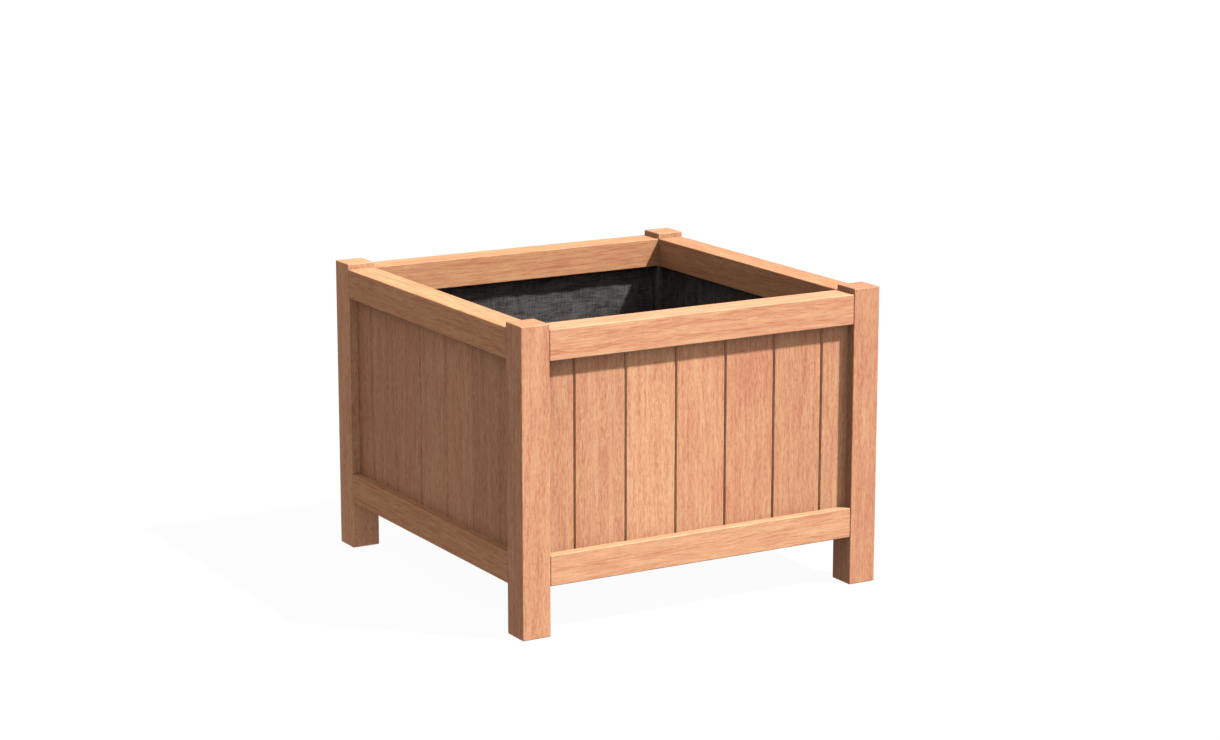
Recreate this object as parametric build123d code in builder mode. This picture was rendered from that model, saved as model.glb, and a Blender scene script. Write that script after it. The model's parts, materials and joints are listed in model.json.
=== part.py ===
"""Square timber planter box: four posts, eight rails, tongue-and-groove side boards,
a slatted floor on bearers, a stapled liner, and the dowels and screws that join them.

Frame: millimetres, +Z up, origin on the ground under the middle of the box.
Front is -Y, right is +X.
"""
from build123d import *
import os
from math import floor

# ------------------------------------------------------------------ overall
length = 800.0            # outside, along X
depth = 800.0             # outside, along Y
height = 600.0            # ground to the top of the posts

# ------------------------------------------------------------------ frame
post_size = 60.0          # square section
edge_round = 2.0          # eased edges of posts and rails
end_chamfer = 1.4         # round the ends of the rails, so that they meet the posts in a fine line
rail_height = 60.0
rail_setback = 0.5        # rail face behind the post face; inside, the two are flush
rail_drop = 11.0          # top of the top rails below the top of the posts
foot_clear = 98.0         # ground to the underside of the bottom rails

# ------------------------------------------------------------------ side boards
board_thick = 14.0
board_recess = 20.0       # board face behind the post face
board_cover = 111.0       # from one joint to the next
joint_gap = 0.6           # between the shoulders of two boards
vee_chamfer = 3.1         # on each face edge, so that every joint shows as a V
tongue_thick = 4.6
tongue_length = 7.0       # from the shoulder
tongue_clear = 0.2        # all round the tongue
least_end_board = 25.0    # narrowest board that may be left at the ends of a side
board_groove = 10.0       # depth of the housing in the rails
post_groove = 8.0         # depth of the housing in the posts
housing_clear = 0.3       # each side of a board in its housing
board_end_gap = 1.0       # room for the wood to swell, at the top and at the posts

# ------------------------------------------------------------------ floor
bearer_width = 40.0
bearer_count = 3
bearer_inset = 70.0       # middle of the outer bearers from the side rails
stub_width = 20.0         # stub tenons on the bearers
stub_shoulder = 8.0       # shoulder above and below a stub tenon
stub_length = 12.0
stub_clear = 0.2          # each side of a stub tenon
slat_thick = 18.0
slat_nominal = 103.0      # width that sets how many slats there are
slat_gap = 11.0           # drainage gap between slats
slat_end_gap = 1.5        # each end of a slat
slat_edge_round = 1.5

# ------------------------------------------------------------------ liner
liner_thick = 1.6
liner_clear = 0.4         # between the liner and the wood round it

# ------------------------------------------------------------------ fasteners
dowel_diameter = 10.0
dowel_in_rail = 20.0
dowel_web = 4.5           # wood between a dowel's end and the dowel that crosses it in the post
dowel_clear = 0.05        # radial, in the hole
dowel_end_gap = 1.0       # glue space at each end
screw_diameter = 4.0
screw_head = 8.0
screw_length = 40.0
screw_edge = 22.0         # screw to the long edge of its slat
screw_clear = 0.05        # radial
staple_crown = 10.0
staple_wire = 1.2
staple_leg = 8.0
staple_clear = 0.05       # round the wire
staple_drop = 8.0         # staple below the top rail

# ------------------------------------------------------------------ worked out from the sizes above
rail_top = height - rail_drop
top_rail_base = rail_top - rail_height
bottom_rail_top = foot_clear + rail_height
board_back = board_recess + board_thick          # from the post face to the back of the boards
rail_thick = post_size - rail_setback
rail_middle = rail_setback + rail_thick / 2      # from the post face to the middle of a rail
groove_width = board_thick + 2 * housing_clear
board_base = bottom_rail_top - board_groove
board_top = top_rail_base + board_groove - board_end_gap
board_length = board_top - board_base
slat_top = bottom_rail_top
bearer_top = slat_top - slat_thick
bearer_height = rail_height - slat_thick         # level with the underside of the rails
stub_height = bearer_height - 2 * stub_shoulder
dowel_in_post = post_size - rail_middle - dowel_diameter / 2 - dowel_web

os.makedirs("parts", exist_ok=True)


def write(shape, name):
    """Label one finished piece and write its file."""
    shape.label = name
    export_step(shape, f"parts/{name}.step")


# A side of the box is drawn once, in its own frame, as if it were the front: u runs along the side,
# the outer post face is at v = 0 and v grows inwards. These four turns put it in its place.
# Each entry is the turn about Z, the width of the side, and its distance from the middle.
SIDES = {
    "front": (0, length, depth / 2),
    "right": (90, depth, length / 2),
    "back": (180, length, depth / 2),
    "left": (270, depth, length / 2),
}


def side_place(side):
    """The place of a side's own frame: u along the side, v inwards, z up from the ground."""
    turn, _, distance = SIDES[side]
    return Location((0, 0, 0), (0, 0, turn)) * Location((0, -distance, 0))


def side_clear(side):
    """The width between the two posts of a side."""
    return SIDES[side][1] - 2 * post_size


def board_joints(side):
    """Where the boards of a side meet, along u: whole boards in the middle, equal cut ones outside."""
    whole = int((side_clear(side) - 2 * least_end_board) // board_cover)
    return [(i - whole / 2) * board_cover for i in range(whole + 1)]


def board_spans(side):
    """Each board's left and right joint along u; the outer two end inside the posts."""
    reach = side_clear(side) / 2 + post_groove - board_end_gap
    cuts = [-reach] + board_joints(side) + [reach]
    return list(zip(cuts[:-1], cuts[1:]))


def board_middles(side):
    """The middle of the part of each board that shows, along u."""
    half = side_clear(side) / 2
    return [(max(a, -half) + min(b, half)) / 2 for a, b in board_spans(side)]


def bearer_places():
    """The middle of each bearer along X."""
    outer = length / 2 - post_size - bearer_inset
    return [-outer + 2 * outer * i / (bearer_count - 1) for i in range(bearer_count)]


def slat_layout():
    """The width of a slat and the middle of each along Y, which fill the floor evenly."""
    room = depth - 2 * post_size
    count = floor((room - slat_gap) / (slat_nominal + slat_gap) + 0.5)
    width = (room - (count + 1) * slat_gap) / count
    middles = [-room / 2 + slat_gap + width / 2 + i * (width + slat_gap) for i in range(count)]
    return width, middles


slat_width, slat_middles = slat_layout()
bearer_middles = bearer_places()
screw_places = [
    (x, y + offset)
    for x in bearer_middles
    for y in slat_middles
    for offset in (-(slat_width / 2 - screw_edge), slat_width / 2 - screw_edge)
]
# the two dowels of a joint stand at the quarter points of the rail's height beside its groove
dowel_step = (rail_height - board_groove) / 4
bottom_dowels = [foot_clear + dowel_step, foot_clear + 3 * dowel_step]
top_dowels = [rail_top - 3 * dowel_step, rail_top - dowel_step]
dowel_heights = bottom_dowels + top_dowels
staple_height = top_rail_base - staple_drop
liner_face = board_back + liner_clear            # from the post face to the outside of the liner
liner_notch = post_size + liner_clear            # the same, where it goes round a post


# ------------------------------------------------------------------ posts
def make_post(name, right, back):
    """One corner post; right and back are +1 or -1 and say which corner it stands in."""
    x = right * (length - post_size) / 2
    y = back * (depth - post_size) / 2
    groove_base = board_base
    groove_height = board_length + board_end_gap
    inner_x = right * (length / 2 - post_size)
    inner_y = back * (depth / 2 - post_size)
    board_x = right * (length / 2 - board_recess - board_thick / 2)
    board_y = back * (depth / 2 - board_recess - board_thick / 2)
    dowel_x = right * (length / 2 - rail_middle)
    dowel_y = back * (depth / 2 - rail_middle)
    hole_depth = dowel_in_post + dowel_end_gap
    with BuildPart() as post:
        with BuildSketch():
            with Locations((x, y)):
                Rectangle(post_size, post_size)
        extrude(amount=height)
        fillet(post.edges(), radius=edge_round)
        # housings for the edges of the end boards
        with BuildSketch(Plane.XY.offset(groove_base)):
            with Locations((inner_x, board_y)):
                Rectangle(2 * post_groove, groove_width)
            with Locations((board_x, inner_y)):
                Rectangle(groove_width, 2 * post_groove)
        extrude(amount=groove_height, mode=Mode.SUBTRACT)
        # dowel holes for the rails along X, then for the rails along Y
        with BuildSketch(Plane.YZ.offset(inner_x)):
            with Locations([(dowel_y, z) for z in dowel_heights]):
                Circle(dowel_diameter / 2 + dowel_clear)
        extrude(amount=right * hole_depth, mode=Mode.SUBTRACT)
        with BuildSketch(Plane.XZ.offset(-inner_y)):
            with Locations([(dowel_x, z) for z in dowel_heights]):
                Circle(dowel_diameter / 2 + dowel_clear)
        extrude(amount=-back * hole_depth, mode=Mode.SUBTRACT)
    write(post.part, name)


# ------------------------------------------------------------------ rails
def make_rail(side, is_top):
    """One rail, drawn in its side's own frame and then turned into place."""
    clear = side_clear(side)
    base = top_rail_base if is_top else foot_clear
    groove_z = base if is_top else base + rail_height - board_groove
    has_mortises = not is_top and side in ("front", "back")
    with BuildPart() as rail:
        with BuildSketch(Plane.YZ.offset(-clear / 2)):
            with Locations((rail_middle, base + rail_height / 2)):
                RectangleRounded(rail_thick, rail_height, edge_round)
        extrude(amount=clear)
        ends = rail.faces().sort_by(Axis.X)
        chamfer(ends[0].edges() + ends[-1].edges(), length=end_chamfer)
        # housing for the ends of the boards
        with BuildSketch(Plane.XY.offset(groove_z)):
            with Locations((0, board_recess + board_thick / 2)):
                Rectangle(clear, groove_width)
        extrude(amount=board_groove, mode=Mode.SUBTRACT)
        # dowel holes in both ends
        for end in (-1, 1):
            with BuildSketch(Plane.YZ.offset(end * clear / 2)):
                with Locations([(rail_middle, z) for z in (top_dowels if is_top else bottom_dowels)]):
                    Circle(dowel_diameter / 2 + dowel_clear)
            extrude(amount=-end * (dowel_in_rail + dowel_end_gap), mode=Mode.SUBTRACT)
        if has_mortises:
            # mortises for the stub tenons of the bearers
            with BuildSketch(Plane.XZ.offset(-post_size)):
                with Locations([(x, bearer_top - bearer_height / 2) for x in bearer_middles]):
                    Rectangle(stub_width + 2 * stub_clear, stub_height + 2 * stub_clear)
            extrude(amount=stub_length + stub_clear, mode=Mode.SUBTRACT)
    name = f"{side}_{'top' if is_top else 'bottom'}_rail"
    write(rail.part.moved(side_place(side)), name)


# ------------------------------------------------------------------ side boards
def board_profile(left, right, left_in_post, right_in_post):
    """The plan outline of one board, added to the sketch that is being built.

    left and right are its joints along u. The left edge has the groove and the right edge has
    the tongue, unless that edge stands in a post, where it is plain.
    """
    face = board_recess
    tongue_v = face + (board_thick - tongue_thick) / 2
    shoulder_left = left if left_in_post else left + joint_gap / 2
    shoulder_right = right if right_in_post else right - joint_gap / 2
    with BuildSketch(Plane.XY.offset(board_base)) as outline:
        with Locations(((shoulder_left + shoulder_right) / 2, face + board_thick / 2)):
            Rectangle(shoulder_right - shoulder_left, board_thick)
        face_corners = outline.vertices().group_by(Axis.Y)[0].sort_by(Axis.X)
        if not left_in_post:
            chamfer(face_corners[0], length=vee_chamfer)
            with Locations((shoulder_left, tongue_v - tongue_clear)):
                Rectangle(
                    tongue_length + tongue_clear,
                    tongue_thick + 2 * tongue_clear,
                    align=(Align.MIN, Align.MIN),
                    mode=Mode.SUBTRACT,
                )
        if not right_in_post:
            chamfer(face_corners[-1], length=vee_chamfer)
            with Locations((shoulder_right, tongue_v)):
                Rectangle(tongue_length, tongue_thick, align=(Align.MIN, Align.MIN))
    return outline.sketch


def make_boards(side):
    """All the boards of one side, each in its own file, numbered from the left."""
    spans = board_spans(side)
    middles = board_middles(side)
    for number, ((left, right), middle) in enumerate(zip(spans, middles), start=1):
        outline = board_profile(left, right, number == 1, number == len(spans))
        with BuildPart() as board:
            add(outline)
            extrude(amount=board_length)
            # holes for the legs of this board's staple
            with BuildSketch(Plane.XZ.offset(-board_back)):
                with Locations((middle, staple_height)):
                    with GridLocations(staple_crown - staple_wire, 1, 2, 1):
                        Rectangle(staple_wire + 2 * staple_clear, staple_wire + 2 * staple_clear)
            extrude(amount=staple_leg, mode=Mode.SUBTRACT)
        write(board.part.moved(side_place(side)), f"{side}_board_{number}")


# ------------------------------------------------------------------ floor
def make_bearers():
    """The bearers run from the front rail to the back rail and end in stub tenons."""
    span = depth - 2 * post_size
    middle_z = bearer_top - bearer_height / 2
    for number, x in enumerate(bearer_middles, start=1):
        with BuildPart() as bearer:
            with Locations((x, 0, middle_z)):
                Box(bearer_width, span, bearer_height)
                chamfer(bearer.edges().filter_by(Axis.Y), length=slat_edge_round)
                Box(stub_width, span + 2 * stub_length, stub_height)
            with BuildSketch(Plane.XY.offset(bearer_top)):
                with Locations([(sx, sy) for sx, sy in screw_places if sx == x]):
                    Circle(screw_diameter / 2 + screw_clear)
            extrude(amount=-(screw_length - slat_thick + screw_clear), mode=Mode.SUBTRACT)
        write(bearer.part, f"floor_bearer_{number}")


def make_slats():
    """The slats lie across the bearers, with their tops level with the bottom rails."""
    slat_length = length - 2 * post_size - 2 * slat_end_gap
    head_depth = (screw_head - screw_diameter) / 2
    for number, y in enumerate(slat_middles, start=1):
        with BuildPart() as slat:
            with Locations((0, y, slat_top - slat_thick / 2)):
                Box(slat_length, slat_width, slat_thick)
            fillet(slat.edges().filter_by(Axis.X), radius=slat_edge_round)
            holes = [(sx, sy) for sx, sy in screw_places if abs(sy - y) < slat_width / 2]
            with BuildSketch(Plane.XY.offset(bearer_top)):
                with Locations(holes):
                    Circle(screw_diameter / 2 + screw_clear)
            extrude(amount=slat_thick, mode=Mode.SUBTRACT)
            with Locations([(hx, hy, slat_top - head_depth / 2) for hx, hy in holes]):
                Cone(
                    screw_diameter / 2 + screw_clear,
                    screw_head / 2 + screw_clear,
                    head_depth,
                    mode=Mode.SUBTRACT,
                )
        write(slat.part, f"floor_slat_{number}")


# ------------------------------------------------------------------ liner
def liner_outline(inset):
    """The plan of the liner, a square bag that steps in round the four posts."""
    half_x = length / 2 - liner_face - inset
    half_y = depth / 2 - liner_face - inset
    notch_x = length / 2 - liner_notch - inset
    notch_y = depth / 2 - liner_notch - inset
    with BuildSketch() as outline:
        Rectangle(2 * half_x, 2 * notch_y)
        Rectangle(2 * notch_x, 2 * half_y)
    return outline.sketch


def make_liner():
    """The woven bag that holds the soil: open at the top, stapled under the top rails."""
    base = slat_top
    wall_height = top_rail_base - liner_clear - base
    with BuildPart() as liner:
        with BuildSketch(Plane.XY.offset(base)):
            add(liner_outline(0))
        extrude(amount=wall_height)
        with BuildSketch(Plane.XY.offset(base + liner_thick)):
            add(liner_outline(liner_thick))
        extrude(amount=wall_height, mode=Mode.SUBTRACT)
        for side in SIDES:
            turned = Plane(side_place(side))
            inside = Plane(
                origin=turned.from_local_coords(Vector(0, liner_face + liner_thick, 0)),
                x_dir=turned.x_dir,
                z_dir=-turned.y_dir,
            )
            with BuildSketch(inside):
                with Locations([(u, staple_height) for u in board_middles(side)]):
                    with GridLocations(staple_crown - staple_wire, 1, 2, 1):
                        Rectangle(staple_wire + 2 * staple_clear, staple_wire + 2 * staple_clear)
            extrude(amount=liner_thick, mode=Mode.SUBTRACT)
    write(liner.part, "liner")


# ------------------------------------------------------------------ fasteners
def make_dowels():
    """Two dowels at each end of each rail, part in the rail and part in the post."""
    with BuildPart() as dowels:
        for side in SIDES:
            turned = Plane(side_place(side))
            for end in (-1, 1):
                middle = turned.from_local_coords(Vector(end * side_clear(side) / 2, rail_middle, 0))
                for z in dowel_heights:
                    joint = Plane(origin=middle + Vector(0, 0, z), z_dir=turned.x_dir * end)
                    with BuildSketch(joint.offset(-dowel_in_rail)):
                        Circle(dowel_diameter / 2)
                    extrude(amount=dowel_in_rail + dowel_in_post)
    write(dowels.part, "rail_dowels")


def make_screws():
    """Countersunk screws through the slats into the bearers."""
    head_depth = (screw_head - screw_diameter) / 2
    with BuildPart() as screws:
        with BuildSketch(Plane.XY.offset(slat_top - screw_length)):
            with Locations(screw_places):
                Circle(screw_diameter / 2)
        extrude(amount=screw_length)
        with Locations([(x, y, slat_top - head_depth / 2) for x, y in screw_places]):
            Cone(screw_diameter / 2, screw_head / 2, head_depth)
    write(screws.part, "slat_screws")


def make_staples():
    """One staple a board: the crown lies on the liner, the legs go through it into the board."""
    crown_v = liner_face + liner_thick
    leg_end = board_back - staple_leg + staple_wire
    with BuildPart() as staples:
        for side in SIDES:
            turned = side_place(side)
            for u in board_middles(side):
                with Locations(turned * Location((u, 0, staple_height))):
                    with Locations((0, crown_v + staple_wire / 2, 0)):
                        Box(staple_crown, staple_wire, staple_wire)
                    with Locations((0, (leg_end + crown_v) / 2, 0)):
                        with GridLocations(staple_crown - staple_wire, 1, 2, 1):
                            Box(staple_wire, crown_v - leg_end, staple_wire)
    write(staples.part, "liner_staples")


make_post("post_front_left", -1, -1)
make_post("post_front_right", 1, -1)
make_post("post_back_right", 1, 1)
make_post("post_back_left", -1, 1)
for side_name in SIDES:
    make_rail(side_name, is_top=True)
    make_rail(side_name, is_top=False)
    make_boards(side_name)
make_bearers()
make_slats()
make_liner()
make_dowels()
make_screws()
make_staples()
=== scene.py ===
"""Finishes of a square hardwood planter box and its woven liner, round the fixed frame.

The timber, the floor slats and the fixings keep the frame's own shapes and get their
finishes here. The woven liner is a sheet of cloth: it is made flat, folded up into the
box, hung from its staples by a cloth simulation and given its thickness.
"""

from __future__ import annotations

import json
import logging
import math
import random
from collections.abc import Callable, Iterable, Sequence
from dataclasses import dataclass, replace
from enum import Enum
from typing import Any

import bpy
from mathutils import Euler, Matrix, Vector
from mathutils.kdtree import KDTree

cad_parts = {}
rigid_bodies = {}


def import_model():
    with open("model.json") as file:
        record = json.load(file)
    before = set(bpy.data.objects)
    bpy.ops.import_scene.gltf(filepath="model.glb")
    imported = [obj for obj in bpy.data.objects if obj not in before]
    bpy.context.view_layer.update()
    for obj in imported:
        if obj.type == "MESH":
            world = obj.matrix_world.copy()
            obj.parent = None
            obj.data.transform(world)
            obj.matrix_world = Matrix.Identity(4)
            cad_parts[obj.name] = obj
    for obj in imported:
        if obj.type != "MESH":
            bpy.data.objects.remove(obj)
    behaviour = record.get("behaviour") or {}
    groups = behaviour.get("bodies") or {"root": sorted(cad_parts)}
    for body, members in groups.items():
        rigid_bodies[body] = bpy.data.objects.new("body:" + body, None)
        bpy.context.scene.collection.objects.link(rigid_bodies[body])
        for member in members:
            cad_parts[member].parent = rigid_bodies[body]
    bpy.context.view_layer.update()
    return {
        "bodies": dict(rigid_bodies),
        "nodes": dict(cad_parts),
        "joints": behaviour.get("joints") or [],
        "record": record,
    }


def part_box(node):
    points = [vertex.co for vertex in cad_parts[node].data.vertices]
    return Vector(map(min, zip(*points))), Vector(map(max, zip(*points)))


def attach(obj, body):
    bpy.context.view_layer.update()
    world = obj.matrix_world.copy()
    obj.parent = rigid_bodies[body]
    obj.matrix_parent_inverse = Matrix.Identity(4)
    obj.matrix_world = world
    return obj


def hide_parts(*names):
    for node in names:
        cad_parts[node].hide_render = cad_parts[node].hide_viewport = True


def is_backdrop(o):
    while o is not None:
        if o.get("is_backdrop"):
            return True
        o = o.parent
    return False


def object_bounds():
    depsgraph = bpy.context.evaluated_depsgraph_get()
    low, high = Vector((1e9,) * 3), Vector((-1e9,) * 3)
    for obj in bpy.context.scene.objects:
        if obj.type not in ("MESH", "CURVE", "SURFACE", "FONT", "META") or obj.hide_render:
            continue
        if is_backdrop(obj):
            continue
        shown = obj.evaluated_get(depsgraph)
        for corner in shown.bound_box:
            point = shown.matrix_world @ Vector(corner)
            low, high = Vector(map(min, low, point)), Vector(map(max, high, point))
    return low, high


LOG = logging.getLogger("planter")
ROOT = "root"
MM = 0.001

Colour = tuple[float, float, float, float]


# ---------------------------------------------------------------- small helpers


def linear(code: str) -> Colour:
    """Turns an sRGB hex colour into linear light.

    Args:
        code: The colour as "#RRGGBB".

    Returns:
        Red, green and blue in linear light, and an alpha of one.
    """
    parts = [int(code[i : i + 2], 16) / 255 for i in (1, 3, 5)]
    light = [c / 12.92 if c <= 0.04045 else ((c + 0.055) / 1.055) ** 2.4 for c in parts]
    return (light[0], light[1], light[2], 1.0)


def scaled(colour: Colour, gain: Sequence[float]) -> Colour:
    """Multiplies a linear colour by a gain for each channel, kept at one or below."""
    red, green, blue = (min(1.0, c * g) for c, g in zip(colour, gain))
    return (red, green, blue, 1.0)


def add_node(
    tree: bpy.types.NodeTree,
    kind: str,
    values: dict[str | int, Any] | None = None,
    links: dict[str | int, bpy.types.NodeSocket] | None = None,
    stops: Sequence[tuple[float, Colour]] = (),
    **settings: Any,
) -> bpy.types.Node:
    """Adds one node with its settings and links.

    Args:
        tree: The node tree that gets the node.
        kind: The node's type name.
        values: Constants for its input sockets, by socket name or number.
        links: The output that feeds each linked input, by socket name or number.
        stops: Positions and colours, for a node with a colour ramp.
        **settings: The node's own properties.

    Returns:
        The new node.
    """
    node = tree.nodes.new(kind)
    for name, value in settings.items():
        setattr(node, name, value)
    for socket, value in (values or {}).items():
        node.inputs[socket].default_value = value
    for socket, source in (links or {}).items():
        tree.links.new(source, node.inputs[socket])
    if stops:
        elements = node.color_ramp.elements
        while len(elements) < len(stops):
            elements.new(1.0)
        for element, (place, colour) in zip(elements, stops):
            element.position, element.color = place, colour
    return node


def wave_scale(spacing: float) -> float:
    """The wave node's scale for stripes or rings that far apart, in mm."""
    # At a scale of one the node's stripes are 2 pi / 20 of a unit apart.
    return 2 * math.pi / 20 / (spacing * MM)


def new_material(name: str) -> tuple[bpy.types.Material, bpy.types.NodeTree]:
    """Makes an empty node material and returns it with its tree."""
    material = bpy.data.materials.new(name)
    material.use_nodes = True
    material.node_tree.nodes.clear()
    return material, material.node_tree


def deselect_all() -> None:
    """Leaves edit mode and deselects every object."""
    if bpy.context.object and bpy.context.object.mode != "OBJECT":
        bpy.ops.object.mode_set(mode="OBJECT")
    bpy.ops.object.select_all(action="DESELECT")


def activate(obj: bpy.types.Object) -> None:
    """Makes one object the only selected one, and the active one."""
    deselect_all()
    obj.select_set(True)
    bpy.context.view_layer.objects.active = obj


def select_faces(
    obj: bpy.types.Object, test: Callable[[bpy.types.MeshPolygon], bool]
) -> None:
    """Selects the faces of an object that pass a test, and ends in edit mode."""
    bpy.ops.object.mode_set(mode="EDIT")
    bpy.ops.mesh.select_mode(type="FACE")
    bpy.ops.mesh.select_all(action="DESELECT")
    bpy.ops.object.mode_set(mode="OBJECT")
    for face in obj.data.polygons:
        face.select = test(face)
    bpy.ops.object.mode_set(mode="EDIT")


def bisect_all(axis: int, places: Iterable[float]) -> None:
    """Cuts the whole mesh in edit mode across one axis at each place.

    Args:
        axis: 0, 1 or 2 for X, Y or Z.
        places: The cuts' coordinates along that axis, in metres.
    """
    normal = [0.0, 0.0, 0.0]
    normal[axis] = 1.0
    for place in places:
        point = [0.0, 0.0, 0.0]
        point[axis] = place
        bpy.ops.mesh.select_all(action="SELECT")
        bpy.ops.mesh.bisect(plane_co=point, plane_no=normal)


# -------------------------------------------------------------------- finishes


class Along(Enum):
    """The way a piece's grain runs, as the turn that brings it to local Z."""

    X = (0.0, -math.pi / 2, 0.0)
    Y = (math.pi / 2, 0.0, 0.0)
    Z = (0.0, 0.0, 0.0)

    @property
    def direction(self) -> tuple[float, float, float]:
        """The grain's direction as a unit vector."""
        return {"X": (1.0, 0.0, 0.0), "Y": (0.0, 1.0, 0.0), "Z": (0.0, 0.0, 1.0)}[self.name]


@dataclass(frozen=True)
class Cut:
    """How one piece was sawn from its log.

    Attributes:
        along: The way its grain runs.
        centre: The piece's middle, in metres.
        pith: The log's centre from the piece's middle, across the grain, in metres.
        start: How far along the log the piece was taken, in metres.
        tilt: How far the grain runs off the piece's length, in radians.
        warmth: From -1, pinker, to 1, yellower.
        shade: The piece's brightness against its fellows.
    """

    along: Along
    centre: Vector
    pith: tuple[float, float]
    start: float
    tilt: float
    warmth: float
    shade: float

    @classmethod
    def drawn(
        cls, node: str, along: Along, warmth: float | None = None, shade: float | None = None
    ) -> Cut:
        """Draws a cut for a node, always the same one for the same name.

        Args:
            node: The CAD node's name.
            along: The way its grain runs.
            warmth: The piece's warmth, or None to draw it.
            shade: The piece's brightness, or None to draw it.

        Returns:
            The cut.
        """
        dice = random.Random(node)
        lo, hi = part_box(node)
        turn, reach = dice.uniform(0, 2 * math.pi), dice.uniform(0.07, 0.16)
        drawn_warmth, drawn_shade = dice.uniform(-0.7, 0.7), dice.uniform(0.95, 1.04)
        return cls(
            along=along,
            centre=(lo + hi) / 2,
            pith=(reach * math.cos(turn), reach * math.sin(turn)),
            start=dice.uniform(1.0, 9.0),
            tilt=dice.uniform(-0.02, 0.02),
            warmth=drawn_warmth if warmth is None else warmth,
            shade=drawn_shade if shade is None else shade,
        )


@dataclass(frozen=True)
class Lumber:
    """Planed timber left bare, with its grain drawn through the solid.

    Planing cuts the fibres, so the surface is satin and its tone comes from short
    fibres, long darker streaks, soft growth bands and broad drifts of colour.
    The fibres and pores of the real wood are about a fifth of a millimetre wide, too
    fine to show, so the fibres are drawn ten times as coarse or more, and the pores
    five times.

    Attributes:
        label: The wood's name.
        pink: The pinker end of the colour drift.
        gold: The yellower end of the colour drift.
        streak: The long darker streaks.
        pore: The open pores.
        end: What an end cut's colour is multiplied by.
        ring: Spacing of the growth bands, in mm.
        fibre: Width and length of the fibre flecks, in mm.
        streaks: Width and length of the long streaks, in mm.
        drift: Width and length of the colour drifts, in mm.
        bands: Width and length of the broad light and dark bands, in mm.
        pores: Width and length of the pores, in mm.
        wander: How far the grain wanders off its line, in mm.
        roughness: The lowest and highest roughness.
        streak_share: How strongly the streaks show.
        band_share: How strongly the broad bands show against the fibres.
        ring_share: How strongly the growth rings show against the fibres.
        drift_spread: How far the noise runs either side of its middle, from pink to gold.
        warm_shift: How far a piece's warmth moves that middle.
        warm_gain: How much a piece's warmth lifts its green and blue.
    """

    label: str
    pink: str = "#D59977"
    gold: str = "#E0AD83"
    streak: str = "#BC6A4C"
    pore: str = "#B4654A"
    end: tuple[float, float, float] = (0.90, 0.86, 0.84)
    ring: float = 11.0
    fibre: tuple[float, float] = (2.3, 14.0)
    streaks: tuple[float, float] = (4.0, 60.0)
    drift: tuple[float, float] = (12.0, 120.0)
    bands: tuple[float, float] = (24.0, 900.0)
    pores: tuple[float, float] = (1.0, 9.0)
    wander: float = 8.0
    roughness: tuple[float, float] = (0.5, 0.64)
    streak_share: float = 0.36
    band_share: float = 0.24
    ring_share: float = 0.06
    drift_spread: float = 0.16
    warm_shift: float = 0.09
    warm_gain: float = 0.03

    @staticmethod
    def across(size: tuple[float, float]) -> tuple[float, float, float]:
        """The pattern scale per metre of a figure that wide and that long, in mm."""
        width, length = size
        return (1 / (width * MM), 1 / (width * MM), 1 / (length * MM))

    def material(self, name: str, cut: Cut) -> bpy.types.Material:
        """Makes the wood of one piece.

        Args:
            name: The piece's name.
            cut: How the piece was sawn.

        Returns:
            The material.
        """
        material, tree = new_material(f"{self.label}_{name}")
        grain = self.grain_coordinates(tree, cut)
        noises = {
            key: self.figure(tree, grain, self.across(size), detail)
            for key, size, detail in (
                ("fibre", self.fibre, 3.0),
                ("streaks", self.streaks, 3.0),
                ("drift", self.drift, 2.0),
                ("pores", self.pores, 1.0),
                ("bands", self.bands, 2.0),
            )
        }
        rings = add_node(
            tree,
            "ShaderNodeTexWave",
            values={"Scale": wave_scale(self.ring)},
            links={"Vector": grain},
            wave_type="RINGS",
            rings_direction="Z",
        )
        colour = self.colour(tree, cut, noises, rings.outputs["Fac"])
        rough = add_node(
            tree,
            "ShaderNodeMapRange",
            values={
                "From Min": 0.35,
                "From Max": 0.65,
                "To Min": self.roughness[1],
                "To Max": self.roughness[0],
            },
            links={"Value": noises["fibre"]},
        )
        relief = add_node(
            tree,
            "ShaderNodeMath",
            values={1: 0.5},
            links={0: noises["pores"], 2: noises["fibre"]},
            operation="MULTIPLY_ADD",
        )
        bump = add_node(
            tree,
            "ShaderNodeBump",
            values={"Strength": 0.35, "Distance": 0.8 * MM},
            links={"Height": relief.outputs[0]},
        )
        wood = add_node(
            tree,
            "ShaderNodeBsdfPrincipled",
            values={"IOR": 1.5, "Specular IOR Level": 0.35},
            links={
                "Base Color": colour,
                "Roughness": rough.outputs[0],
                "Normal": bump.outputs[0],
            },
        )
        add_node(tree, "ShaderNodeOutputMaterial", links={"Surface": wood.outputs[0]})
        return material

    def grain_coordinates(
        self, tree: bpy.types.NodeTree, cut: Cut
    ) -> bpy.types.NodeSocket:
        """Coordinates with the pith on the Z axis, bent a little as a trunk is."""
        turn = Euler([a + cut.tilt for a in cut.along.value])
        middle = turn.to_matrix() @ cut.centre
        shift = Vector((cut.pith[0], cut.pith[1], cut.start)) - middle
        place = add_node(tree, "ShaderNodeTexCoord")
        log = add_node(
            tree,
            "ShaderNodeMapping",
            values={"Location": shift, "Rotation": turn},
            links={"Vector": place.outputs["Object"]},
        )
        bend = self.figure(tree, log.outputs[0], (7.0, 7.0, 1.5), 2.0, "Color")
        bent = add_node(
            tree,
            "ShaderNodeVectorMath",
            values={1: (self.wander * MM, self.wander * MM, 0.0)},
            links={0: bend, 2: log.outputs[0]},
            operation="MULTIPLY_ADD",
        )
        return bent.outputs[0]

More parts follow.
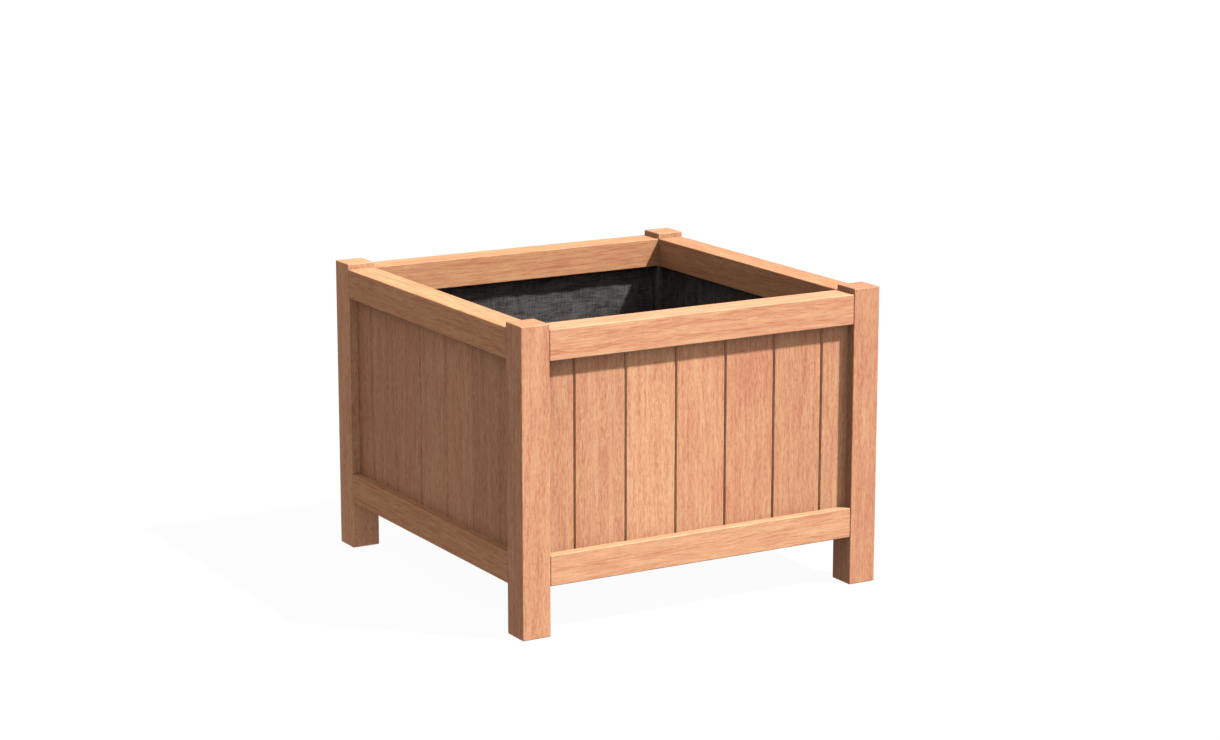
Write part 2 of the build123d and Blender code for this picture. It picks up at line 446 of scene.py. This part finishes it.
    @staticmethod
    def figure(
        tree: bpy.types.NodeTree,
        grain: bpy.types.NodeSocket,
        scale: tuple[float, float, float],
        detail: float,
        output: str = "Factor",
    ) -> bpy.types.NodeSocket:
        """A stretched noise on the grain coordinates.

        Args:
            tree: The material's tree.
            grain: The coordinates.
            scale: The pattern's scale per metre, across twice and along.
            detail: The noise's octaves.
            output: Factor for a number, Color for three.

        Returns:
            The noise's output.
        """
        stretched = add_node(
            tree,
            "ShaderNodeVectorMath",
            values={1: scale},
            links={0: grain},
            operation="MULTIPLY",
        )
        noise = add_node(
            tree,
            "ShaderNodeTexNoise",
            values={"Scale": 1.0, "Detail": detail, "Roughness": 0.7},
            links={"Vector": stretched.outputs[0]},
        )
        return noise.outputs["Color" if output == "Color" else 0]

    def colour(
        self,
        tree: bpy.types.NodeTree,
        cut: Cut,
        noises: dict[str, bpy.types.NodeSocket],
        rings: bpy.types.NodeSocket,
    ) -> bpy.types.NodeSocket:
        """Mixes the drift, growth bands, fibres, streaks, pores and end cut."""
        warm = cut.shade * (1 + self.warm_gain * cut.warmth)
        gain = (cut.shade, warm, warm)
        pink, gold = (scaled(linear(c), gain) for c in (self.pink, self.gold))
        middle = 0.5 - self.warm_shift * cut.warmth
        base = add_node(
            tree,
            "ShaderNodeValToRGB",
            links={"Fac": noises["drift"]},
            stops=[(middle - self.drift_spread, pink), (middle + self.drift_spread, gold)],
        )
        body = add_node(
            tree,
            "ShaderNodeMath",
            values={1: self.ring_share},
            links={0: rings, 2: noises["fibre"]},
            operation="MULTIPLY_ADD",
        )
        body = add_node(
            tree,
            "ShaderNodeMath",
            values={1: self.band_share},
            links={0: noises["bands"], 2: body.outputs[0]},
            operation="MULTIPLY_ADD",
        )
        tone = add_node(
            tree,
            "ShaderNodeValToRGB",
            links={"Fac": body.outputs[0]},
            stops=[
                (0.485, (0.76, 0.58, 0.51, 1.0)),
                (0.64, (0.945, 0.885, 0.86, 1.0)),
                (0.775, (1.0, 1.0, 1.0, 1.0)),
            ],
        )
        wood = add_node(
            tree,
            "ShaderNodeMix",
            values={0: 1.0},
            links={6: base.outputs[0], 7: tone.outputs[0]},
            data_type="RGBA",
            blend_type="MULTIPLY",
        )
        for key, low, high, share, code in (
            ("streaks", 0.53, 0.66, self.streak_share, self.streak),
            ("pores", 0.60, 0.74, 0.5, self.pore),
        ):
            mask = add_node(
                tree,
                "ShaderNodeMapRange",
                values={"From Min": low, "From Max": high, "To Max": share},
                links={"Value": noises[key]},
            )
            wood = add_node(
                tree,
                "ShaderNodeMix",
                values={7: scaled(linear(code), (cut.shade,) * 3)},
                links={0: mask.outputs[0], 6: wood.outputs[2]},
                data_type="RGBA",
            )
        return self.end_cut(tree, cut, wood.outputs[2])

    def end_cut(
        self, tree: bpy.types.NodeTree, cut: Cut, wood: bpy.types.NodeSocket
    ) -> bpy.types.NodeSocket:
        """Darkens the wood where the saw went across the grain."""
        facing = add_node(tree, "ShaderNodeTexCoord")
        lengthwise = add_node(
            tree,
            "ShaderNodeVectorMath",
            values={1: cut.along.direction},
            links={0: facing.outputs["Normal"]},
            operation="DOT_PRODUCT",
        )
        size = add_node(
            tree,
            "ShaderNodeMath",
            links={0: lengthwise.outputs["Value"]},
            operation="ABSOLUTE",
        )
        mask = add_node(
            tree,
            "ShaderNodeMapRange",
            values={"From Min": 0.55, "From Max": 0.85},
            links={"Value": size.outputs[0]},
        )
        darker = add_node(
            tree,
            "ShaderNodeMix",
            values={7: (*self.end, 1.0)},
            links={0: mask.outputs[0], 6: wood},
            data_type="RGBA",
            blend_type="MULTIPLY",
        )
        return darker.outputs[2]


@dataclass(frozen=True)
class CoatedSteel:
    """Steel with a thin coat, either bright zinc or black, that is faintly mottled.

    Attributes:
        colour: The coat's paler patches.
        dull: Its darker patches.
        roughness: How rough it is.
        mottle: The width of a patch, in mm.
    """

    colour: str = "#B9BBBA"
    dull: str = "#8F9291"
    roughness: float = 0.38
    mottle: float = 3.0

    def material(self, name: str) -> bpy.types.Material:
        """Makes the steel."""
        material, tree = new_material(name)
        place = add_node(tree, "ShaderNodeTexCoord")
        zinc = add_node(
            tree,
            "ShaderNodeTexNoise",
            values={"Scale": 1 / (self.mottle * MM), "Detail": 2.0},
            links={"Vector": place.outputs["Object"]},
        )
        coat = add_node(
            tree,
            "ShaderNodeValToRGB",
            links={"Fac": zinc.outputs[0]},
            stops=[(0.35, linear(self.dull)), (0.65, linear(self.colour))],
        )
        steel = add_node(
            tree,
            "ShaderNodeBsdfPrincipled",
            values={"Metallic": 1.0, "Roughness": self.roughness},
            links={"Base Color": coat.outputs[0]},
        )
        add_node(tree, "ShaderNodeOutputMaterial", links={"Surface": steel.outputs[0]})
        return material


@dataclass(frozen=True)
class TapeCloth:
    """Ground-cover cloth: flat polypropylene tapes in a plain weave, nearly black.

    The tapes are drawn over and under each other, and each takes the light a little
    differently, so the cloth shows a fine cross-hatch with paler threads both ways and
    cloudy patches where it has been handled. The real tapes are 2.5 mm wide.

    Attributes:
        tape: The width of a tape, in mm.
        dark_with_painted_bounce: The cloth between its paler tapes, lifted and made redder as
            painted bounce light from the wood.
        pale: The palest tapes.
        thread: How far a pale stretch of tape runs, in mm.
        cloud: The width and height of the cloudy patches, in mm.
        roughness: The tapes' roughness.
        levels: The lowest and highest sum of the patterns, from dark to pale.
    """

    tape: float = 2.5
    # The black tapes' own colour, lifted and made redder as painted bounce light from the
    # wood.
    dark_with_painted_bounce: str = "#29211F"
    pale: str = "#74716D"
    thread: float = 30.0
    cloud: tuple[float, float] = (60.0, 12.0)
    roughness: float = 0.58
    levels: tuple[float, float] = (1.08, 1.72)

    def material(self, name: str) -> bpy.types.Material:
        """Makes the cloth, on a UV map that is in metres on the flat cloth."""
        material, tree = new_material(name)
        place = add_node(tree, "ShaderNodeUVMap", uv_map="cloth").outputs[0]
        tapes = add_node(
            tree,
            "ShaderNodeVectorMath",
            values={1: (1 / (self.tape * MM),) * 3},
            links={0: place},
            operation="MULTIPLY",
        )
        weave = add_node(
            tree,
            "ShaderNodeTexChecker",
            values={"Scale": 1.0, "Color1": (1.0,) * 4, "Color2": (0.0, 0.0, 0.0, 1.0)},
            links={"Vector": tapes.outputs[0]},
        )
        tones = [self.threads(tree, place, way) for way in (0, 1)]
        crowns = [self.crown(tree, place, way) for way in ("X", "Y")]
        shown, crown = (
            add_node(
                tree,
                "ShaderNodeMix",
                links={0: weave.outputs["Fac"], 2: first, 3: second},
            ).outputs[0]
            for first, second in (tones, crowns)
        )
        wide, tall = self.cloud
        patches = add_node(
            tree,
            "ShaderNodeMapping",
            values={"Scale": (1 / (wide * MM), 1 / (tall * MM), 1.0)},
            links={"Vector": place},
        )
        clouds = add_node(
            tree,
            "ShaderNodeTexNoise",
            values={"Scale": 1.0, "Detail": 4.0, "Roughness": 0.62},
            links={"Vector": patches.outputs[0]},
        )
        level = shown
        for source, share in (
            (clouds.outputs[0], 0.8),
            (tones[0], 0.35),
            (tones[1], 0.35),
            (crown, 0.06),
        ):
            level = add_node(
                tree,
                "ShaderNodeMath",
                values={1: share},
                links={0: source, 2: level},
                operation="MULTIPLY_ADD",
            ).outputs[0]
        colour = add_node(
            tree,
            "ShaderNodeMapRange",
            values={"From Min": self.levels[0], "From Max": self.levels[1]},
            links={"Value": level},
        )
        shade = add_node(
            tree,
            "ShaderNodeValToRGB",
            links={"Fac": colour.outputs[0]},
            stops=[(0.0, linear(self.dark_with_painted_bounce)), (1.0, linear(self.pale))],
        )
        bump = add_node(
            tree,
            "ShaderNodeBump",
            values={"Strength": 0.5, "Distance": 0.4 * MM},
            links={"Height": crown},
        )
        cloth = add_node(
            tree,
            "ShaderNodeBsdfPrincipled",
            values={"Roughness": self.roughness, "IOR": 1.49, "Specular IOR Level": 0.5},
            links={"Base Color": shade.outputs[0], "Normal": bump.outputs[0]},
        )
        add_node(tree, "ShaderNodeOutputMaterial", links={"Surface": cloth.outputs[0]})
        return material

    def threads(
        self, tree: bpy.types.NodeTree, place: bpy.types.NodeSocket, way: int
    ) -> bpy.types.NodeSocket:
        """How pale each tape is, drawn out along the tapes that run one way."""
        scale = [1 / (self.thread * MM), 1 / (self.thread * MM), 1.0]
        scale[way] = 1 / (self.tape * MM)
        # The shift keeps the two ways' threads from showing the same figure.
        drawn = add_node(
            tree,
            "ShaderNodeMapping",
            values={"Scale": scale, "Location": (7.3 * way, 2.1, 0.0)},
            links={"Vector": place},
        )
        noise = add_node(
            tree,
            "ShaderNodeTexNoise",
            values={"Scale": 1.0, "Detail": 3.0, "Roughness": 0.65},
            links={"Vector": drawn.outputs[0]},
        )
        return noise.outputs[0]

    def crown(
        self, tree: bpy.types.NodeTree, place: bpy.types.NodeSocket, way: str
    ) -> bpy.types.NodeSocket:
        """The rounded height of the tapes that run one way."""
        wave = add_node(
            tree,
            "ShaderNodeTexWave",
            values={"Scale": wave_scale(self.tape)},
            links={"Vector": place},
            wave_type="BANDS",
            bands_direction=way,
        )
        return wave.outputs["Fac"]


@dataclass(frozen=True)
class PaleFloor:
    """Matt white studio floor, lit from within so that shadows on it stay faint.

    Attributes:
        colour: The floor's colour.
        glow: How much of that colour it gives off by itself.
        share: How much of it answers to the lights.
    """

    colour: str = "#FFFFFF"
    glow: float = 0.96
    share: float = 0.04

    def material(self, name: str) -> bpy.types.Material:
        """Makes the floor."""
        material, tree = new_material(name)
        colour = linear(self.colour)
        board = add_node(
            tree,
            "ShaderNodeBsdfPrincipled",
            values={
                "Base Color": scaled(colour, (self.share,) * 3),
                "Roughness": 0.9,
                "Specular IOR Level": 0.0,
                "Emission Color": colour,
                "Emission Strength": self.glow,
            },
        )
        add_node(tree, "ShaderNodeOutputMaterial", links={"Surface": board.outputs[0]})
        return material


# ------------------------------------------------------------------ the planter


@dataclass
class Timber:
    """One set of timber pieces that share a wood and a slot.

    Attributes:
        finish: The wood.
        grain: The way the grain runs, by node name.
        tones: Warmth and shade of single pieces that differ from their fellows; the right top
            rail's darker shade is painted shade.
    """

    finish: Lumber
    grain: dict[str, Along]
    tones: dict[str, tuple[float, float]]

    def dress(self, nodes: dict[str, bpy.types.Object]) -> None:
        """Gives every piece of the set its own cut of the wood."""
        for name, along in self.grain.items():
            warmth, shade = self.tones.get(name, (None, None))
            cut = Cut.drawn(name, along, warmth, shade)
            dress_node(nodes[name], self.finish.material(name, cut))


def dress_node(node: bpy.types.Object, material: bpy.types.Material) -> None:
    """Puts a material on a frame node in place of its plain one, and reports it."""
    node.data.materials.clear()
    node.data.materials.append(material)
    LOG.info("%s: %s", node.name, material.name)


@dataclass
class Carcass:
    """Posts and rails: the planter's frame, dowelled together.

    Attributes:
        post_wood: The posts' wood.
        front_rail_wood: The front rails' wood, which has longer streaks.
        rail_wood: The other rails' wood, from a more golden log.
        tones: Warmth and shade of single pieces that differ from their fellows; the right top
            rail's darker shade is painted shade.
    """

    post_wood: Lumber
    front_rail_wood: Lumber
    rail_wood: Lumber
    tones: dict[str, tuple[float, float]]

    def dress(self, nodes: dict[str, bpy.types.Object]) -> None:
        """Dresses the upright posts and the level rails."""
        posts = {name: Along.Z for name in nodes if name.startswith("post_")}
        front_rails = ("front_top_rail", "front_bottom_rail")
        front = {name: Along.X for name in nodes if name in front_rails}
        others = {
            name: Along.X if name.startswith("back") else Along.Y
            for name in nodes
            if name.endswith("_rail") and name not in front
        }
        Timber(self.post_wood, posts, self.tones).dress(nodes)
        Timber(self.front_rail_wood, front, self.tones).dress(nodes)
        Timber(self.rail_wood, others, self.tones).dress(nodes)


@dataclass
class Panelling:
    """The tongued and grooved upright boards of the four sides.

    Attributes:
        finish: The wood.
        tones: Warmth and shade of single boards that differ from their fellows.
    """

    finish: Lumber
    tones: dict[str, tuple[float, float]]

    def timber(self, nodes: dict[str, bpy.types.Object]) -> Timber:
        """Every board stands upright, and no two come from the same log."""
        boards = {name: Along.Z for name in nodes if "_board_" in name}
        return Timber(self.finish, boards, self.tones)


@dataclass
class FloorTimber:
    """The slats and bearers that carry the soil."""

    finish: Lumber

    def timber(self, nodes: dict[str, bpy.types.Object]) -> Timber:
        """Bearers and slats cross each other, each along its own longer side."""
        grain = {}
        for name in nodes:
            if name.startswith(("floor_slat", "floor_bearer")):
                lo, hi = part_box(name)
                size = hi - lo
                grain[name] = Along.X if size.x > size.y else Along.Y
        return Timber(self.finish, grain, {})


@dataclass
class Fixings:
    """Dowels, screws and staples."""

    dowel_finish: Lumber
    screws: CoatedSteel
    staples: CoatedSteel

    def dress(self, nodes: dict[str, bpy.types.Object]) -> None:
        """Gives the dowels their wood and the metal its coat."""
        cut = Cut.drawn("rail_dowels", Along.X)
        dress_node(nodes["rail_dowels"], self.dowel_finish.material("rail_dowels", cut))
        for name, metal in (("slat_screws", self.screws), ("liner_staples", self.staples)):
            dress_node(nodes[name], metal.material(name))


@dataclass
class LinerCloth:
    """The woven liner: one sheet folded up into a box and stapled under the rails.

    Attributes:
        thickness: The cloth's thickness, in metres.
        pitch: The spacing of its mesh before it is smoothed, in metres.
        growth: How much looser than the box the cloth was cut.
        hold: How far from a staple the cloth can't move, in metres.
        frames: How long the cloth settles, in frames.
        bending: Its stiffness against folding.
        contact_gap: Clearance between the cloth's middle and what it meets.
        stand_in: The wall thickness of the solid that the cloth stands for, in metres.
        post_gap: From a post's face to the inside of that solid's wall, in metres.
        slat_top: The height of the slats' upper face, in metres.
        map_shift: How far the side walls, and the front and back walls, lie from the
            floor on the flat map, in metres.
    """

    thickness: float = 0.9 * MM
    pitch: float = 13 * MM
    growth: float = 0.012
    hold: float = 9 * MM
    frames: int = 36
    bending: float = 0.6
    contact_gap: float = 1.0 * MM
    stand_in: float = 1.6 * MM
    post_gap: float = 2.0 * MM
    slat_top: float = 0.158
    map_shift: tuple[float, float] = (1.7, 1.3)

    def build(self, finish: TapeCloth) -> bpy.types.Object:
        """Args:
            finish: The cloth.

        Returns:
            The liner.
        """
        liner = self.folded_box()
        self.map_flat(liner)
        self.pin_to_staples(liner)
        self.settle(liner)
        self.thicken(liner)
        liner.data.materials.append(finish.material("woven_polypropylene_tape"))
        self.declare(liner)
        LOG.info("liner: %d faces", len(liner.data.polygons))
        return liner

    def shape(self) -> tuple[float, float, float, float]:
        """The cloth's middle surface: half width, post notch, floor and top heights."""
        lo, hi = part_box("liner")
        post_lo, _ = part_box("post_back_right")
        half = hi.x - self.stand_in + self.thickness / 2
        notch = post_lo.x - self.post_gap + self.thickness / 2
        return half, notch, lo.z + self.stand_in - self.thickness / 2, hi.z

    def folded_box(self) -> bpy.types.Object:
        """Folds a flat sheet up against the boards and round the posts.

        Returns:
            The sheet, with no thickness yet.
        """
        half, notch, floor, top = self.shape()
        deselect_all()
        bpy.ops.mesh.primitive_plane_add(size=2 * half, location=(0, 0, floor))
        liner = bpy.context.object
        liner.name = liner.data.name = "liner_cloth"
        bpy.ops.object.transform_apply(location=True, rotation=True, scale=True)
        bpy.ops.object.mode_set(mode="EDIT")
        for axis in (0, 1):
            bisect_all(axis, (-notch, notch))
        select_faces(
            liner, lambda f: abs(f.center.x) > notch and abs(f.center.y) > notch
        )
        bpy.ops.mesh.delete(type="FACE")
        bpy.ops.mesh.select_mode(type="EDGE")
        bpy.ops.mesh.select_all(action="SELECT")
        bpy.ops.mesh.region_to_loop()
        bpy.ops.mesh.extrude_region_move(
            TRANSFORM_OT_translate={"value": (0, 0, top - floor)}
        )
        across = self.places(-notch, notch)
        for axis in (0, 1):
            bisect_all(axis, across)
            bisect_all(axis, [s * (notch + half) / 2 for s in (-1, 1)])
        bisect_all(2, self.places(floor, top))
        bpy.ops.mesh.select_all(action="SELECT")
        bpy.ops.mesh.normals_make_consistent(inside=False)
        bpy.ops.object.mode_set(mode="OBJECT")
        return liner

    def places(self, start: float, end: float) -> list[float]:
        """Evenly spaced cuts between two coordinates, about one pitch apart."""
        count = round((end - start) / self.pitch)
        return [start + (end - start) * i / count for i in range(1, count)]

    def map_flat(self, liner: bpy.types.Object) -> None:
        """Lays the sheet out flat in metres, each face by the way it looks."""
        layer = liner.data.uv_layers.new(name="cloth")
        side_shift, front_shift = self.map_shift
        for face in liner.data.polygons:
            for loop in face.loop_indices:
                point = liner.data.vertices[liner.data.loops[loop].vertex_index].co
                if abs(face.normal.z) > 0.5:
                    layer.data[loop].uv = (point.x, point.y)
                elif abs(face.normal.y) > 0.5:
                    layer.data[loop].uv = (point.x, point.z + front_shift)
                else:
                    layer.data[loop].uv = (point.z + side_shift, point.y)

    def pin_to_staples(self, liner: bpy.types.Object) -> None:
        """Marks what the staples hold, and the top edge that is folded round a post."""
        _, notch, _, top = self.shape()
        wires = bpy.data.objects["liner_staples"].data.vertices
        tree = KDTree(len(wires))
        for i, vertex in enumerate(wires):
            tree.insert(vertex.co, i)
        tree.balance()
        group = liner.vertex_groups.new(name="held")
        held = [
            v.index
            for v in liner.data.vertices
            if tree.find(v.co)[2] < self.hold
            or (v.co.z > top - MM and min(abs(v.co.x), abs(v.co.y)) > notch - MM)
        ]
        group.add(held, 1.0, "REPLACE")

    def barriers(self) -> list[bpy.types.Object]:
        """Stands in for the boards, posts and slats while the cloth settles."""
        top = self.shape()[3]
        post_lo, post_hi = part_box("post_back_right")
        board_lo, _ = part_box("back_board_4")
        thick, wide, tall = 0.06, 0.9, top + 0.1
        out = board_lo.y + thick / 2
        middle, post = (post_lo.x + post_hi.x) / 2, post_hi.x - post_lo.x
        blocks = [((0, 0, self.slat_top - thick / 2), (wide, wide, thick))]
        for s in (-1, 1):
            blocks.append(((s * out, 0, tall / 2), (thick, wide, tall)))
            blocks.append(((0, s * out, tall / 2), (wide, thick, tall)))
            for t in (-1, 1):
                blocks.append(((s * middle, t * middle, tall / 2), (post, post, tall)))
        made = []
        for place, size in blocks:
            deselect_all()
            bpy.ops.mesh.primitive_cube_add(size=1, location=place, scale=size)
            block = bpy.context.object
            block.modifiers.new("Collision", "COLLISION")
            block.collision.thickness_outer = 0.001
            block.collision.cloth_friction = 12
            made.append(block)
        return made

    def settle(self, liner: bpy.types.Object) -> None:
        """Lets the cloth hang from its staples and rest on the slats."""
        blocks = self.barriers()
        activate(liner)
        cloth = liner.modifiers.new("Cloth", "CLOTH")
        settings, contact = cloth.settings, cloth.collision_settings
        settings.quality = 6
        settings.mass = 0.12
        settings.air_damping = 4
        settings.tension_stiffness = settings.compression_stiffness = 20
        settings.shear_stiffness = 8
        settings.bending_stiffness = self.bending
        settings.vertex_group_mass = "held"
        settings.shrink_min = -self.growth
        contact.distance_min = self.contact_gap
        contact.collision_quality = 3
        scene = bpy.context.scene
        scene.frame_start, scene.frame_end = 1, self.frames
        cloth.point_cache.frame_start, cloth.point_cache.frame_end = 1, self.frames
        for frame in range(1, self.frames + 1):
            scene.frame_set(frame)
        activate(liner)
        bpy.ops.object.modifier_apply(modifier=cloth.name)
        for block in blocks:
            bpy.data.objects.remove(block)
        scene.frame_set(1)

    def thicken(self, liner: bpy.types.Object) -> None:
        """Smooths the hung sheet and gives it its thickness."""
        activate(liner)
        smooth = liner.modifiers.new("Subdivision", "SUBSURF")
        smooth.levels = smooth.render_levels = 1
        wall = liner.modifiers.new("Solidify", "SOLIDIFY")
        wall.thickness, wall.offset = self.thickness, 0.0
        for modifier in (smooth, wall):
            bpy.ops.object.modifier_apply(modifier=modifier.name)
        liner.vertex_groups.clear()
        bpy.ops.object.shade_smooth_by_angle(angle=math.radians(50))

    def declare(self, liner: bpy.types.Object) -> None:
        """Attaches the liner to the root body and hides the frame's solid liner that it takes
        the place of.
        """
        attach(liner, ROOT)
        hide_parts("liner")


@dataclass
class Studio:
    """The plain pale floor, the light and the camera.

    Attributes:
        sun_way: The way the key light travels.
        sun_power: The key light's strength.
        sun_spread: Its apparent size, in degrees.
        fill: The colour of the light from all round, as linear red, green and blue.
        fill_round: How strong it is from every side.
        fill_front: How much stronger it is from straight in front.
        fill_above: How much stronger it is from overhead.
        bounces: How many times light passes on from one piece to the next.
        bearing: The camera's compass angle from straight ahead, in degrees.
        drop: How far it looks down, in degrees.
        aim: The point that it looks at, from the middle of the object, in metres.
        reach: Its distance from that point, in metres.
        lens: Its focal length on a 36 mm sensor, in mm.
    """

    sun_way: tuple[float, float, float] = (-1.05, 1.0, -1.85)
    sun_power: float = 5.75
    sun_spread: float = 3.5
    fill: tuple[float, float, float] = (1.0, 0.955, 0.945)
    fill_round: float = 0.208
    fill_front: float = 0.25
    fill_above: float = 0.448
    bounces: int = 0
    bearing: float = 30.182
    drop: float = 12.382
    aim: tuple[float, float, float] = (-0.0005, -0.0365, 0.1070)
    reach: float = 5.8383
    lens: float = 85.62

    def build(self, finish: PaleFloor) -> None:
        """Lays the floor, lights the scene and sets the camera."""
        self.lay_floor(finish)
        self.light()
        self.stand_camera()
        bpy.context.scene.view_settings.view_transform = "Standard"
        bpy.context.scene.cycles.diffuse_bounces = self.bounces

    def lay_floor(self, finish: PaleFloor) -> None:
        """A wide floor that only the camera sees, so that it tints nothing."""
        deselect_all()
        bpy.ops.mesh.primitive_plane_add(size=80, location=(0, 0, 0))
        floor = bpy.context.object
        floor.name = "studio_floor"
        floor.data.materials.append(finish.material("white_studio_floor"))
        floor.visible_diffuse = floor.visible_glossy = False
        floor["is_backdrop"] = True

    def light(self) -> None:
        """One key light from the front right, and a fill that is stronger ahead and above."""
        deselect_all()
        bpy.ops.object.light_add(type="SUN", location=(2, -2, 4))
        key = bpy.context.object
        key.name = "key_light"
        key.data.energy = self.sun_power
        key.data.angle = math.radians(self.sun_spread)
        key.rotation_euler = Vector(self.sun_way).to_track_quat("-Z", "Y").to_euler()
        world = bpy.data.worlds.new("studio")
        bpy.context.scene.world = world
        world.use_nodes = True
        tree = world.node_tree
        tree.nodes.clear()
        seen = add_node(tree, "ShaderNodeLightPath")
        way = add_node(tree, "ShaderNodeTexCoord")
        strength: float | bpy.types.NodeSocket = self.fill_round
        for side, extra in (((0, -1, 0), self.fill_front), ((0, 0, 1), self.fill_above)):
            toward = add_node(
                tree,
                "ShaderNodeVectorMath",
                values={1: side},
                links={0: way.outputs["Generated"]},
                operation="DOT_PRODUCT",
            )
            share = add_node(
                tree,
                "ShaderNodeMath",
                values={1: 0.0},
                links={0: toward.outputs["Value"]},
                operation="MAXIMUM",
            )
            total = add_node(
                tree,
                "ShaderNodeMath",
                values={1: extra, 2: self.fill_round},
                links={0: share.outputs[0]},
                operation="MULTIPLY_ADD",
            )
            if isinstance(strength, bpy.types.NodeSocket):
                tree.links.new(strength, total.inputs[2])
            strength = total.outputs[0]
        fill = add_node(
            tree,
            "ShaderNodeBackground",
            values={"Color": (*self.fill, 1.0)},
            links={"Strength": strength},
        )
        white = add_node(
            tree, "ShaderNodeBackground", values={"Color": (1.0,) * 4, "Strength": 1.0}
        )
        both = add_node(
            tree,
            "ShaderNodeMixShader",
            links={0: seen.outputs["Is Camera Ray"], 1: fill.outputs[0], 2: white.outputs[0]},
        )
        add_node(tree, "ShaderNodeOutputWorld", links={"Surface": both.outputs[0]})

    def stand_camera(self) -> None:
        """Stands the camera back from its aim, along its bearing and drop."""
        lo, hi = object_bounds()
        turn, tip = math.radians(self.bearing), math.radians(self.drop)
        forward = Vector(
            (
                math.sin(turn) * math.cos(tip),
                math.cos(turn) * math.cos(tip),
                -math.sin(tip),
            )
        )
        aim = (lo + hi) / 2 + Vector(self.aim)
        deselect_all()
        bpy.ops.object.camera_add(location=aim - forward * self.reach)
        camera = bpy.context.object
        camera.name = "camera"
        camera.rotation_euler = forward.to_track_quat("-Z", "Y").to_euler()
        camera.data.lens = self.lens
        camera.data.sensor_width = 36.0
        bpy.context.scene.camera = camera


def main() -> None:
    """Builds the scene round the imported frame, piece by piece."""
    logging.basicConfig(level=logging.INFO, format="%(name)s %(message)s")
    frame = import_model()
    nodes = frame["nodes"]
    hardwood = Lumber("planed_hardwood")
    Studio().build(PaleFloor())
    tones = {
        "front_board_1": (0.0, 0.95),
        "front_board_2": (0.2, 0.96),
        "front_board_3": (0.9, 1.05),
        "front_board_4": (0.3, 1.03),
        "front_board_5": (-0.2, 1.0),
        "front_board_6": (-0.1, 0.96),
        "front_board_7": (0.2, 0.96),
        "left_board_1": (-0.4, 0.96),
        "left_board_2": (0.2, 0.95),
        "left_board_3": (-0.5, 1.02),
        "left_board_4": (0.3, 1.02),
        "left_board_5": (0.1, 1.06),
        "left_board_6": (0.3, 0.93),
        "left_board_7": (-0.6, 0.97),
        "post_back_left": (0.6, 1.15),
        "post_front_left": (0.1, 1.01),
        "post_front_right": (-0.3, 0.97),
        "front_top_rail": (0.3, 1.05),
        "front_bottom_rail": (0.8, 1.05),
        "left_top_rail": (0.0, 1.04),
        # The right top rail is darkened all over as painted shade, for the shade that falls
        # on its inner face.
        "right_top_rail": (-0.4, 0.9),
        "back_top_rail": (-0.3, 0.94),
    }
    streaky = replace(
        hardwood,
        label="streaked_hardwood",
        fibre=(2.0, 42.0),
        streaks=(3.6, 110.0),
        streak_share=0.3,
    )
    golden = replace(streaky, label="golden_hardwood", pink="#D59971", gold="#E0AD7C")
    Carcass(hardwood, streaky, golden, tones).dress(nodes)
    Panelling(hardwood, tones).timber(nodes).dress(nodes)
    sawn = replace(hardwood, label="sawn_hardwood", roughness=(0.66, 0.8))
    FloorTimber(sawn).timber(nodes).dress(nodes)
    beech = replace(hardwood, label="beech_dowel", pink="#D9B088", gold="#E3C196")
    blackened = CoatedSteel(colour="#34322F", dull="#262422", roughness=0.5)
    Fixings(beech, CoatedSteel(), blackened).dress(nodes)
    LinerCloth().build(TapeCloth())
    deselect_all()


if __name__ == "__main__":
    main()
